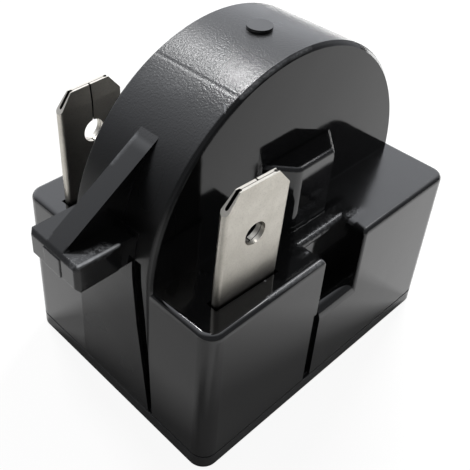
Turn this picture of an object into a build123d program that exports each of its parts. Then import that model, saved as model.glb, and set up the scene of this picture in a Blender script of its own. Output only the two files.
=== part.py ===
from build123d import *
from math import acos, atan2, cos, hypot, sin, tan
import os

# Plug-in start relay of a compressor: a moulded housing whose upright drum holds the thermistor pill.
# Origin at the centre of the base underside, X along the front, Y to the back, Z up. Sizes in mm.

# Base blocks
WIDTH = 30.7
DEPTH = 23.2
SEAM_Z = 1.7
BLOCK_TOP = 16.1
CORNER_R = 1.45
TOP_EDGE_R = 0.5
DRAFT_DEG = 0.36
WALL = 1.4
ROOF = 1.5

# Drum, an arch on two drafted sides
DRUM_R = 15.1
DRUM_X = -0.3
DRUM_Z = 16.14
DRUM_FRONT = -5.1
DRUM_REAR = 4.32
DRUM_PROUD = 0.02
RIM_EDGE = 0.35
BULKHEAD_Z = 9.6

# Notch between the two front blocks
NOTCH_LEFT = -2.3
NOTCH_RIGHT = 2.8
NOTCH_DEPTH = 2.6
NOTCH_FLOOR = 10.0
NOTCH_LIP_R = 1.2
NOTCH_EDGE_R = 0.25

# Groove in the front wall below the notch
SLIT_LEFT = -2.85
SLIT_WIDTH = 0.94
SLIT_DEPTH = 0.55

# Leaning groove in the left wall: (y, z) along its front edge and its rear edge
GROOVE_FRONT_EDGE = ((-5.28, SEAM_Z), (-4.6, 12.8), (-4.0, 18.4))
GROOVE_REAR_EDGE = ((-2.95, 18.4), (-3.5, 11.8), (-4.82, SEAM_Z))
GROOVE_DEPTH = 0.8

# Boss against the drum's front face
BOSS_FRONT = 2.2
BOSS_FRONT_LEFT = -1.75
BOSS_FRONT_RIGHT = 2.5
BOSS_BACK_LEFT = -3.75
BOSS_BACK_RIGHT = 4.65
BOSS_TOP = 22.35
BOSS_EDGE = 0.25
BOSS_CORNER_R = 0.8
BOSS_CORE_SIDE = 1.3
BOSS_CORE_DEPTH = 1.1

# Ear on the drum's left side
EAR_END = -20.45
EAR_FRONT = -3.3
EAR_REAR = 2.4
EAR_TOP = 20.7
EAR_T = 2.4
EAR_EDGE = 0.3
WEB_FRONT = -1.4
WEB_T = 1.95
WEB_TOP_X = -11.0
WEB_TOP_Z = 26.7
PAD_T = 0.08
PAD_DROP = 0.4

# Small marks of the moulding
PIP_X = -0.15
PIP_R = 1.05
PIP_H = 0.28
MARK_X = -10.75
MARK_Y = -6.2
MARK_R = 0.45
MARK_DEPTH = 0.08

# Cover plate with the pin entries
SEAM_GAP = 0.15
SEAM_DEPTH = 0.3
COVER_EDGE = 0.25
LIP_GAP = 0.12
LIP_T = 0.9
LIP_H = 1.3
ENTRY_R = 2.6
PIN_HOLE_R = 1.78
RECESS_GAP = 0.1
RECESS_DEPTH = 0.5
POST_W = 2.6
POST_T = 1.8

# Thermistor pill and the fins that centre it
PILL_T = 2.6
PILL_BOTTOM = 8.65
PILL_TOP_GAP = 1.69
FIN_GAP = 0.15
FIN_T = 1.6
FIN_W = 1.1
FIN_SPREAD = 6.8
FIN_FOOT = 6.0

# Insulating sheets
MICA_T = 0.2
MICA_GAP = 0.3

# Contact springs
SPRING_T = 0.3
PLATE_W = 14.4
PLATE_H = 17.0
PLATE_R = 3.5
TAIL_BEND_R = 0.5
FINGER_W = 2.8
FINGER_GAP = 0.35
FINGER_X = 3.4
FINGER_ROOT = 7.2
FINGER_RISE = 3.2
FINGER_FLAT = 0.9
FINGER_TIP = 0.9
FINGER_LIFT = 0.55
FINGER_BEND_R = 0.3

# Spade terminals, folded double from thin sheet
SHEET_T = 0.4
TAB_W = 6.3
TAB_H = 10.42
TAB_CHAMFER_X = 1.25
TAB_CHAMFER_Z = 1.53
TIP_TAPER_T = 0.16
TIP_TAPER_H = 1.5
TAB_HOLE_R = 1.0
FRONT_HOLE_Z = 5.85
REAR_HOLE_Z = 6.2
FOLD_R = 0.34
FOLD_W = 0.28
FOLD_GAP = 0.05
FOLD_HOLLOW_W = 1.3
FOLD_HOLLOW_T = 0.28
FLAP_GAP = 0.14
FLAP_FOOT = 1.2
SHOULDER_W = 1.1
SHOULDER_H = 2.0
SHOULDER_GAP = 0.1
STRAP_W = 5.2
STRAP_BEND_R = 0.6
STRAP_GAP = 0.42
FOOT_LENGTH = 3.9
SLOT_GAP = 0.12

# Places of the terminals in their pockets, and of the rivets in their feet
FRONT_TAB_OFF = -0.145
FRONT_TAB_WALL_GAP = 0.69
FRONT_TAB_TURN = -2.1
FRONT_TAB_LEAN = 2.0
FRONT_RIVET_OFF = 0.22
FRONT_RIVET_IN = 2.42
REAR_TAB_SIDE_GAP = 0.35
REAR_TAB_WALL_GAP = 1.91
REAR_TAB_TURN = 2.3
REAR_TAB_LEAN = -0.7
REAR_RIVET_OFF = 1.15
REAR_RIVET_IN = 2.08

# Pin sockets, rolled from sheet, and their clamps
BORE_R = 1.6
SOCKET_SEAT = 0.1
BARREL_H = 6.1
BARREL_SLIT = 0.5
LUG_W = 2.4
LUG_LENGTH = 3.6
LUG_ROOT = 0.5
LUG_BEND_R = 0.4
FRONT_LUG_RIVET = 2.2
REAR_LUG_RIVET = 2.1
CLAMP_T = 0.3
CLAMP_Z = 4.0
CLAMP_H = 2.6
CLAMP_SLIT = 1.3
SOCKET_X = 5.5
SOCKET_OUT = 2.5

# Rivets
RIVET_R = 0.6
RIVET_GAP = 0.02
RIVET_HEAD_R = 1.0
RIVET_HEAD_H = 0.4

# Levels and stations that follow from the sizes above
ROOM_SIDE = WIDTH / 2 - WALL
ROOM_END = DEPTH / 2 - WALL
DRUM_MID = (DRUM_FRONT + DRUM_REAR) / 2
ROOM_HALF = (DRUM_REAR - DRUM_FRONT) / 2 - WALL
SHEET_OUT = ROOM_HALF - MICA_T
PLATE_OUT = SHEET_OUT - SPRING_T / 2
CREST_OUT = PILL_T / 2 + SPRING_T / 2
PILL_D = DRUM_Z + DRUM_R - WALL - PILL_TOP_GAP - PILL_BOTTOM
PILL_Z = PILL_BOTTOM + PILL_D / 2
BARREL_Z = SEAM_Z - RECESS_DEPTH + SOCKET_SEAT
BARREL_R = BORE_R + SHEET_T
BARREL_TOP = BARREL_Z + BARREL_H
LUG_Z = BARREL_TOP + LUG_BEND_R + SHEET_T
LUG_OUT = SOCKET_OUT + BORE_R + SHEET_T / 2
TAIL_Z = LUG_Z + SHEET_T / 2 + SPRING_T / 2
FOOT_Z = TAIL_Z + SPRING_T / 2 + SHEET_T / 2
TAB_T = 2 * SHEET_T
ROOF_Z = BLOCK_TOP - ROOF
FRONT_TAB_X = (NOTCH_LEFT - WALL - ROOM_SIDE - SHOULDER_W) / 2 + FRONT_TAB_OFF
FRONT_TAB_Y = FRONT_TAB_WALL_GAP - ROOM_END
REAR_TAB_X = REAR_TAB_SIDE_GAP + TAB_W / 2 - ROOM_SIDE
REAR_TAB_Y = ROOM_END - REAR_TAB_WALL_GAP
FRONT = -1
REAR = 1


def out(facing, distance):
    """Y of a station at a distance from the drum's middle, to the front or to the rear."""
    return DRUM_MID + facing * distance


def slab(x_span, y_span, z_span):
    """A box given by its spans."""
    centre = Pos(sum(x_span) / 2, sum(y_span) / 2, sum(z_span) / 2)
    return centre * Box(x_span[1] - x_span[0], y_span[1] - y_span[0], z_span[1] - z_span[0])


def upright(face, y_span):
    """A solid from a face drawn as seen from the front, (x, z)."""
    return extrude(Plane.XZ.offset(-y_span[1]) * face, amount=y_span[1] - y_span[0])


def arch(inset, foot_z, y_span):
    """The drum's outline set in by a distance, with straight sides that run down tangent to its circle."""
    radius = DRUM_R - inset
    springs = []
    feet = []
    for side in (-1, 1):
        run = WIDTH / 2 + DRUM_PROUD - side * DRUM_X
        lean = atan2(SEAM_Z - DRUM_Z, run) + acos(DRUM_R / hypot(run, DRUM_Z - SEAM_Z))
        spring_x = DRUM_X + side * radius * cos(lean)
        spring_z = DRUM_Z + radius * sin(lean)
        springs.append((spring_x, spring_z))
        feet.append((spring_x + side * (spring_z - foot_z) * tan(lean), foot_z))
    sides = Polyline(springs[0], *feet, springs[1])
    crown = ThreePointArc(springs[1], (DRUM_X, DRUM_Z + radius), springs[0])
    return upright(make_face(sides + crown), y_span)


def bent_strip(points, bend_r, thickness, x_span):
    """Sheet bent along a path of (y, z) points and as wide as x_span."""
    section = trace(FilletPolyline(*points, radius=bend_r), line_width=thickness)
    return Pos(x_span[0], 0, 0) * extrude(Plane.YZ * section, amount=x_span[1] - x_span[0])


def notch_cut():
    """Space of the notch, open at the front and the top."""
    front = -DEPTH / 2
    y_span = (front - WALL, front + NOTCH_DEPTH)
    return slab((NOTCH_LEFT, NOTCH_RIGHT), y_span, (NOTCH_FLOOR, BLOCK_TOP + ROOF))


def blocks():
    """Front and rear blocks in one drafted form, with the notch."""
    plan = Pos(0, 0, SEAM_Z) * RectangleRounded(WIDTH, DEPTH, CORNER_R)
    body = extrude(plan, amount=BLOCK_TOP - SEAM_Z, taper=DRAFT_DEG) - notch_cut()
    lip = body.edges().filter_by(Axis.X).filter_by_position(Axis.Z, NOTCH_FLOOR - 0.01, NOTCH_FLOOR + 0.01)
    body = fillet(lip.sort_by(Axis.Y)[0], NOTCH_LIP_R)
    for x in (NOTCH_LEFT, NOTCH_RIGHT):
        mouth = (x, -DEPTH / 2, (NOTCH_FLOOR + NOTCH_LIP_R + BLOCK_TOP) / 2)
        body = fillet(body.edges().sort_by_distance(mouth)[0], NOTCH_EDGE_R)
    return fillet(body.faces().sort_by(Axis.Z)[-1].edges(), TOP_EDGE_R)


def drum():
    """Drum with broken rims on its two end faces."""
    body = arch(0, SEAM_Z, (DRUM_FRONT, DRUM_REAR))
    rims = ShapeList()
    for y in (DRUM_FRONT, DRUM_REAR):
        face_edges = body.edges().filter_by_position(Axis.Y, y - 0.01, y + 0.01)
        rims += face_edges.filter_by(lambda edge: edge.center().Z > SEAM_Z + 0.01)
    return chamfer(rims, RIM_EDGE)


def boss():
    """Boss that widens towards the drum's front face."""
    front = DRUM_FRONT - BOSS_FRONT
    inside = DRUM_FRONT + WALL / 2
    corners = (
        (BOSS_FRONT_LEFT, front),
        (BOSS_FRONT_RIGHT, front),
        (BOSS_BACK_RIGHT, DRUM_FRONT),
        (BOSS_BACK_RIGHT, inside),
        (BOSS_BACK_LEFT, inside),
        (BOSS_BACK_LEFT, DRUM_FRONT),
    )
    plan = make_face(Polyline(*corners, close=True))
    plan = fillet(plan.vertices().sort_by(Axis.Y)[:2].sort_by(Axis.X)[0], BOSS_CORNER_R)
    body = extrude(Pos(0, 0, BLOCK_TOP - ROOF) * plan, amount=BOSS_TOP - BLOCK_TOP + ROOF)
    rim = body.faces().sort_by(Axis.Z)[-1].edges()
    return chamfer(rim.filter_by(lambda edge: edge.center().Y < DRUM_FRONT - 0.01), BOSS_EDGE)


def ear():
    """Flange with its upright web and the thin pad on its end."""
    flange = slab((EAR_END, -DRUM_R + WALL), (EAR_FRONT, EAR_REAR), (EAR_TOP - EAR_T, EAR_TOP))
    ends = flange.faces().sort_by(Axis.X)[0].edges()
    flange = chamfer(ends, EAR_EDGE)
    foot_x = EAR_END + EAR_EDGE
    foot_z = EAR_TOP - EAR_EDGE
    corners = ((foot_x, EAR_TOP), (WEB_TOP_X, WEB_TOP_Z), (WEB_TOP_X, foot_z), (foot_x, foot_z))
    web_span = (WEB_FRONT, WEB_FRONT + WEB_T)
    web = upright(make_face(Polyline(*corners, close=True)), web_span)
    pad = slab((EAR_END - PAD_T, foot_x), web_span, (EAR_TOP - EAR_T + EAR_EDGE, EAR_TOP - PAD_DROP))
    return flange + web + pad


def rooms():
    """Hollow of the housing: the drum room, the pockets of the blocks and the room above the cover."""
    hollow = arch(WALL, SEAM_Z, (DRUM_FRONT + WALL, DRUM_REAR - WALL))
    hollow += slab((-ROOM_SIDE, ROOM_SIDE), (-ROOM_END, ROOM_END), (SEAM_Z, BULKHEAD_Z))
    hollow += slab((-ROOM_SIDE, NOTCH_LEFT - WALL), (-ROOM_END, DRUM_FRONT), (SEAM_Z, ROOF_Z))
    hollow += slab((NOTCH_RIGHT + WALL, ROOM_SIDE), (-ROOM_END, DRUM_FRONT), (SEAM_Z, ROOF_Z))
    hollow += slab((-ROOM_SIDE, ROOM_SIDE), (DRUM_REAR, ROOM_END), (SEAM_Z, ROOF_Z))
    core_x = (BOSS_FRONT_LEFT + BOSS_CORE_SIDE / 2, BOSS_FRONT_RIGHT - BOSS_CORE_SIDE / 2)
    core_y = (DRUM_FRONT - BOSS_CORE_DEPTH, DRUM_FRONT + WALL)
    hollow += slab(core_x, core_y, (SEAM_Z, BOSS_TOP - BOSS_CORE_SIDE))
    shell_x = (NOTCH_LEFT - WALL, NOTCH_RIGHT + WALL)
    shell_y = (-DEPTH / 2, NOTCH_DEPTH - DEPTH / 2 + WALL)
    return hollow - slab(shell_x, shell_y, (NOTCH_FLOOR - WALL, BLOCK_TOP))


def guide_fins():
    """Upright fins in the drum room that centre the pill."""
    y_span = (DRUM_MID - FIN_T / 2, DRUM_MID + FIN_T / 2)
    inner = PILL_D / 2 + FIN_GAP
    crown = DRUM_Z + DRUM_R
    fins = slab((inner, DRUM_R), y_span, (FIN_FOOT, crown))
    fins += slab((-DRUM_R, -inner), y_span, (FIN_FOOT, crown))
    for x in (-FIN_SPREAD, 0, FIN_SPREAD):
        fins += slab((x - FIN_W / 2, x + FIN_W / 2), y_span, (PILL_Z, crown))
    fins &= arch(WALL / 2, SEAM_Z, y_span)
    return fins - Pos(0, DRUM_MID, PILL_Z) * Rot(90, 0, 0) * Cylinder(inner, DEPTH)


def left_groove():
    """Leaning groove down the left wall, below the ear."""
    face = make_face(Polyline(*GROOVE_FRONT_EDGE, *GROOVE_REAR_EDGE, close=True))
    return Pos(-WIDTH / 2 - WALL, 0, 0) * extrude(Plane.YZ * face, amount=WALL + GROOVE_DEPTH)


def front_slit():
    """Narrow groove in the front wall from the notch down to the seam."""
    wall_y = -DEPTH / 2
    x_span = (SLIT_LEFT, SLIT_LEFT + SLIT_WIDTH)
    return slab(x_span, (wall_y - WALL, wall_y + SLIT_DEPTH), (SEAM_Z, NOTCH_FLOOR))


def tab_slot(place):
    """Slot of a terminal in the roof of its block."""
    cut = Box(TAB_W + 2 * SLOT_GAP, TAB_T + 2 * SLOT_GAP, 3 * ROOF)
    return place * Pos(0, TAB_T / 2, 0) * cut


def housing():
    """The whole moulding."""
    pip = Pos(PIP_X, DRUM_MID, DRUM_Z + DRUM_R) * Cylinder(PIP_R, 2 * PIP_H)
    mark = Pos(MARK_X, MARK_Y, BLOCK_TOP) * Cylinder(MARK_R, 2 * MARK_DEPTH)
    body = blocks() + drum() + boss() + ear() + pip
    body = body - rooms() + guide_fins()
    body = body - left_groove() - front_slit() - mark
    return body - tab_slot(front_place()) - tab_slot(rear_place())


def socket_place(facing):
    """Foot of a pin socket's axis on the cover."""
    return Pos(facing * SOCKET_X, out(facing, SOCKET_OUT), 0)


def base_cover():
    """Cover plate with pin entries, a recess for each socket and the post below the pill."""
    plate = extrude(RectangleRounded(WIDTH, DEPTH, CORNER_R), amount=SEAM_Z - SEAM_GAP)
    plate = chamfer(plate.faces().sort_by(Axis.Z)[0].edges(), COVER_EDGE)
    inset = 2 * SEAM_DEPTH
    plate += extrude(RectangleRounded(WIDTH - inset, DEPTH - inset, CORNER_R - SEAM_DEPTH), amount=SEAM_Z)
    lip_w = WIDTH - 2 * (WALL + LIP_GAP)
    lip_d = DEPTH - 2 * (WALL + LIP_GAP)
    ring = Rectangle(lip_w, lip_d) - Rectangle(lip_w - 2 * LIP_T, lip_d - 2 * LIP_T)
    plate += extrude(ring, amount=SEAM_Z + LIP_H)
    post_y = (DRUM_MID - POST_T / 2, DRUM_MID + POST_T / 2)
    plate += slab((-POST_W / 2, POST_W / 2), post_y, (0, PILL_BOTTOM))
    recess = Pos(0, 0, SEAM_Z) * Cylinder(BARREL_R + RECESS_GAP, 2 * RECESS_DEPTH)
    for facing in (FRONT, REAR):
        plate -= socket_place(facing) * Cylinder(PIN_HOLE_R, 3 * SEAM_Z)
        plate -= socket_place(facing) * recess
        entry = Cone(ENTRY_R, PIN_HOLE_R, SEAM_Z / 2, align=(Align.CENTER, Align.CENTER, Align.MIN))
        plate -= socket_place(facing) * entry
    return plate


def ptc_pill():
    """Ceramic disc on edge."""
    return Pos(0, DRUM_MID, PILL_Z) * Rot(90, 0, 0) * Cylinder(PILL_D / 2, PILL_T)


def mica_sheet(facing):
    """Thin sheet against an end wall of the drum room."""
    faces = sorted((out(facing, ROOM_HALF), out(facing, SHEET_OUT)))
    return arch(WALL + MICA_GAP, BULKHEAD_Z + MICA_GAP / 2, faces)


def finger(facing, x, heading):
    """A contact finger that rises from the plate to the pill and turns back at its tip."""
    root = PILL_Z - heading * FINGER_ROOT
    crest = root + heading * FINGER_RISE
    crest_end = crest + heading * FINGER_FLAT
    points = (
        (out(facing, PLATE_OUT), root),
        (out(facing, CREST_OUT), crest),
        (out(facing, CREST_OUT), crest_end),
        (out(facing, CREST_OUT + FINGER_LIFT), crest_end + heading * FINGER_TIP),
    )
    return bent_strip(points, FINGER_BEND_R, SPRING_T, (x - FINGER_W / 2, x + FINGER_W / 2))


def finger_window(facing, x, heading):
    """Opening in the plate that a finger was lifted from."""
    half = FINGER_W / 2 + FINGER_GAP
    root = PILL_Z - heading * (FINGER_ROOT - SPRING_T)
    tip = PILL_Z - heading * (FINGER_ROOT - FINGER_RISE - FINGER_FLAT - FINGER_TIP - FINGER_GAP)
    faces = sorted((out(facing, PLATE_OUT - SPRING_T), out(facing, PLATE_OUT + SPRING_T)))
    return slab((x - half, x + half), faces, sorted((root, tip)))


def rivet_hole(x, y, z):
    """Hole of a rivet through the sheets near height z."""
    return Pos(x, y, z) * Cylinder(RIVET_R + RIVET_GAP, 4 * SHEET_T)


def contact_spring(facing, left, right):
    """Plate with four fingers and a tail bent out under the bulkhead, with its two rivets' places."""
    blank = RectangleRounded(PLATE_W, PLATE_H, PLATE_R)
    faces = sorted((out(facing, SHEET_OUT), out(facing, SHEET_OUT - SPRING_T)))
    spring = upright(Pos(0, PILL_Z) * blank, faces)
    tail_span = (left[0] - 2 * RIVET_R, right[0] + 2 * RIVET_R)
    tail_end = facing * (max(facing * left[1], facing * right[1]) + 2 * RIVET_R)
    tail_path = (
        (out(facing, PLATE_OUT), PILL_Z - PLATE_H / 2 + PLATE_R),
        (out(facing, PLATE_OUT), TAIL_Z),
        (tail_end, TAIL_Z),
    )
    spring += bent_strip(tail_path, TAIL_BEND_R, SPRING_T, tail_span)
    for x in (-FINGER_X, FINGER_X):
        for heading in (-1, 1):
            spring -= finger_window(facing, x, heading)
    for x in (-FINGER_X, FINGER_X):
        for heading in (-1, 1):
            spring += finger(facing, x, heading)
    return spring - rivet_hole(*left, TAIL_Z) - rivet_hole(*right, TAIL_Z)


def front_place():
    """Base of the front tab: middle of its outer face on the block top, with +Y towards the drum."""
    return Pos(FRONT_TAB_X, FRONT_TAB_Y, BLOCK_TOP) * Rot(0, 0, FRONT_TAB_TURN)


def rear_place():
    """Base of the rear tab: middle of its drum face on the block top."""
    return Pos(REAR_TAB_X, REAR_TAB_Y - TAB_T, BLOCK_TOP) * Rot(0, 0, REAR_TAB_TURN)


def folded_section(outer_y):
    """Section of the folded tab: one full layer at outer_y, two flaps, and the hollow of each fold."""
    section = RectangleRounded(TAB_W, TAB_T, FOLD_R)
    section -= Rectangle(TAB_W - 2 * FOLD_W, FOLD_GAP)
    hollow_x = TAB_W / 2 - FOLD_W - FOLD_HOLLOW_W / 2
    for heading in (-1, 1):
        section -= Pos(heading * hollow_x, 0) * SlotOverall(FOLD_HOLLOW_W, FOLD_HOLLOW_T)
    flap_side = TAB_T / 2 - outer_y
    return section - Pos(0, flap_side / 2) * Rectangle(FLAP_GAP, TAB_T / 2)


def folded_tab(outer_y, hole_z):
    """Tab folded double, with a tapered tip, chamfered corners and a detent hole."""
    height = TAB_H + ROOF + FLAP_FOOT
    foot = -ROOF - FLAP_FOOT
    bar = extrude(Pos(0, TAB_T / 2, foot) * folded_section(outer_y), amount=height)
    outline = Pos(0, foot + height / 2) * Rectangle(2 * TAB_W, height)
    for heading in (-1, 1):
        nose = Polyline((heading * TAB_W, TAB_H), (heading * TAB_W, TAB_H - TAB_CHAMFER_Z),
                        (heading * TAB_W / 2, TAB_H - TAB_CHAMFER_Z),
                        (heading * (TAB_W / 2 - TAB_CHAMFER_X), TAB_H), close=True)
        outline -= make_face(nose)
    outline -= Pos(0, hole_z) * Circle(TAB_HOLE_R)
    taper_z = TAB_H - TIP_TAPER_H
    side = Polyline((0, foot), (0, taper_z), (TIP_TAPER_T, TAB_H), (TAB_T - TIP_TAPER_T, TAB_H),
                    (TAB_T, taper_z), (TAB_T, foot), close=True)
    tapered = Pos(-TAB_W, 0, 0) * extrude(Plane.YZ * make_face(side), amount=2 * TAB_W)
    return bar & upright(outline, (-TAB_T, 2 * TAB_T)) & tapered


def blade(facing, lean, hole_z):
    """Spade tab with its shoulder under the roof."""
    outer_y = 0 if facing == FRONT else TAB_T
    tab = Pos(0, TAB_T / 2, 0) * Rot(lean, 0, 0) * Pos(0, -TAB_T / 2, 0) * folded_tab(outer_y, hole_z)
    shoulder_top = -ROOF - SHOULDER_GAP
    layer = sorted((outer_y, outer_y - facing * SHEET_T))
    neck = slab((-TAB_W / 2, TAB_W / 2 + SHOULDER_W), layer, (shoulder_top - SHOULDER_H, shoulder_top))
    return tab + neck


def strap(facing, x_span):
    """Strap down from the shoulder, bent out to the foot."""
    sheet_y = (0 if facing == FRONT else TAB_T) - facing * SHEET_T / 2
    path = (
        (sheet_y, -ROOF - SHOULDER_GAP - SHOULDER_H / 2),
        (sheet_y, FOOT_Z - BLOCK_TOP),
        (sheet_y - facing * FOOT_LENGTH, FOOT_Z - BLOCK_TOP),
    )
    return bent_strip(path, STRAP_BEND_R, SHEET_T, x_span)


def front_terminal(rivet_at):
    """Terminal on the front left block, whose strap keeps clear of the socket's rivet."""
    strap_right = -SOCKET_X - RIVET_HEAD_R - STRAP_GAP - FRONT_TAB_X
    body = blade(FRONT, FRONT_TAB_LEAN, FRONT_HOLE_Z) + strap(FRONT, (-STRAP_W / 2, strap_right))
    return front_place() * body - rivet_hole(*rivet_at, FOOT_Z)


def rear_terminal(rivet_at):
    """Terminal behind the drum."""
    body = blade(REAR, REAR_TAB_LEAN, REAR_HOLE_Z) + strap(REAR, (-STRAP_W / 2, STRAP_W / 2))
    return rear_place() * body - rivet_hole(*rivet_at, FOOT_Z)


def pin_socket(facing, rivet_at):
    """Rolled barrel with a slit and a lug bent out below the spring's tail."""
    barrel = Circle(BARREL_R) - Circle(BORE_R)
    barrel -= Pos(0, -facing * BARREL_R) * Rectangle(BARREL_SLIT, BARREL_R)
    body = socket_place(facing) * Pos(0, 0, BARREL_Z) * extrude(barrel, amount=BARREL_H)
    path = (
        (out(facing, LUG_OUT), BARREL_TOP - LUG_ROOT),
        (out(facing, LUG_OUT), LUG_Z),
        (out(facing, LUG_OUT + LUG_LENGTH), LUG_Z),
    )
    x = facing * SOCKET_X
    body += bent_strip(path, LUG_BEND_R, SHEET_T, (x - LUG_W / 2, x + LUG_W / 2))
    return body - rivet_hole(*rivet_at, LUG_Z)


def socket_clamp(facing):
    """Open spring ring round the barrel."""
    ring = Circle(BARREL_R + CLAMP_T) - Circle(BARREL_R)
    ring -= Pos(0, -facing * BARREL_R) * Rectangle(CLAMP_SLIT, BARREL_R)
    return socket_place(facing) * Pos(0, 0, CLAMP_Z) * extrude(ring, amount=CLAMP_H)


def rivet(x, y, low, high):
    """Rivet whose heads close on sheets between two heights."""
    foot = (Align.CENTER, Align.CENTER, Align.MIN)
    body = Pos(0, 0, low) * Cylinder(RIVET_R, high - low, align=foot)
    for z in (low - RIVET_HEAD_H, high):
        body += Pos(0, 0, z) * Cylinder(RIVET_HEAD_R, RIVET_HEAD_H, align=foot)
    return Pos(x, y, 0) * body


def main():
    """Build every piece and write it out."""
    front_left = (FRONT_TAB_X + FRONT_RIVET_OFF, FRONT_TAB_Y + SHEET_T / 2 + FRONT_RIVET_IN)
    front_right = (-SOCKET_X, out(FRONT, LUG_OUT + FRONT_LUG_RIVET))
    rear_left = (REAR_TAB_X + REAR_RIVET_OFF, REAR_TAB_Y - SHEET_T / 2 - REAR_RIVET_IN)
    rear_right = (SOCKET_X, out(REAR, LUG_OUT + REAR_LUG_RIVET))
    foot_stack = (TAIL_Z - SPRING_T / 2, FOOT_Z + SHEET_T / 2)
    lug_stack = (LUG_Z - SHEET_T / 2, TAIL_Z + SPRING_T / 2)
    pieces = {
        "housing": housing(),
        "base_cover": base_cover(),
        "ptc_pill": ptc_pill(),
        "front_mica_sheet": mica_sheet(FRONT),
        "rear_mica_sheet": mica_sheet(REAR),
        "front_contact_spring": contact_spring(FRONT, front_left, front_right),
        "rear_contact_spring": contact_spring(REAR, rear_left, rear_right),
        "front_terminal": front_terminal(front_left),
        "rear_terminal": rear_terminal(rear_left),
        "front_pin_socket": pin_socket(FRONT, front_right),
        "rear_pin_socket": pin_socket(REAR, rear_right),
        "front_socket_clamp": socket_clamp(FRONT),
        "rear_socket_clamp": socket_clamp(REAR),
        "front_left_rivet": rivet(*front_left, *foot_stack),
        "front_right_rivet": rivet(*front_right, *lug_stack),
        "rear_left_rivet": rivet(*rear_left, *foot_stack),
        "rear_right_rivet": rivet(*rear_right, *lug_stack),
    }
    os.makedirs("parts", exist_ok=True)
    for name, piece in pieces.items():
        export_step(piece, f"parts/{name}.step")


main()
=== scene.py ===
"""Studio scene of a plug-in compressor start relay: a black moulded housing with tin-plated spade tabs."""

import logging
import math
from dataclasses import dataclass, field
from enum import Enum

import bpy
from mathutils import Matrix, Vector


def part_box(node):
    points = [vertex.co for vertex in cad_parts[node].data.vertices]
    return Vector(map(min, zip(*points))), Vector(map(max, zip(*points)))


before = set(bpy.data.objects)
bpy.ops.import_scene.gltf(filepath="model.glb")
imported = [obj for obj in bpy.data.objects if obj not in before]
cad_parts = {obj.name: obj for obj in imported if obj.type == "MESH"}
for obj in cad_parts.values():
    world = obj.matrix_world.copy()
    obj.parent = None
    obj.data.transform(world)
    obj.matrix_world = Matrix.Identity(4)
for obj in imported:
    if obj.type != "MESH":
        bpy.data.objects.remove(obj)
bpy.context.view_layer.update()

MM = 0.001
WHITE = (1.0, 1.0, 1.0)
PLAIN_SPECULAR = 0.5
LOG = logging.getLogger("start_relay")

Colour = tuple[float, float, float]
Point = tuple[float, float, float]
Span = tuple[float, float]
Socket = bpy.types.NodeSocket
Value = float | Socket


class Slot(Enum):
    """Material slots of the relay's record."""

    MOULDING = "black_moulding"
    COVER = "black_cover"
    TIN = "tinned_brass"
    SPRING = "spring_steel"
    RIVET = "rivet_brass"
    CERAMIC = "ceramic"
    MICA = "mica"


def around(place: float, reach: Span) -> Span:
    """The span that two distances reach from a place."""
    return place + reach[0], place + reach[1]


@dataclass(frozen=True)
class Grain:
    """Noise of one fineness: cycles per millimetre, finer layers, their weight and the axes' stretch."""

    per_mm: float
    layers: float
    weight: float
    stretch: Point | None = None


@dataclass(frozen=True)
class Relief:
    """How far a bump raises the surface: its share of the full effect and the height of the value 1."""

    strength: float
    height_mm: float


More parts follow.
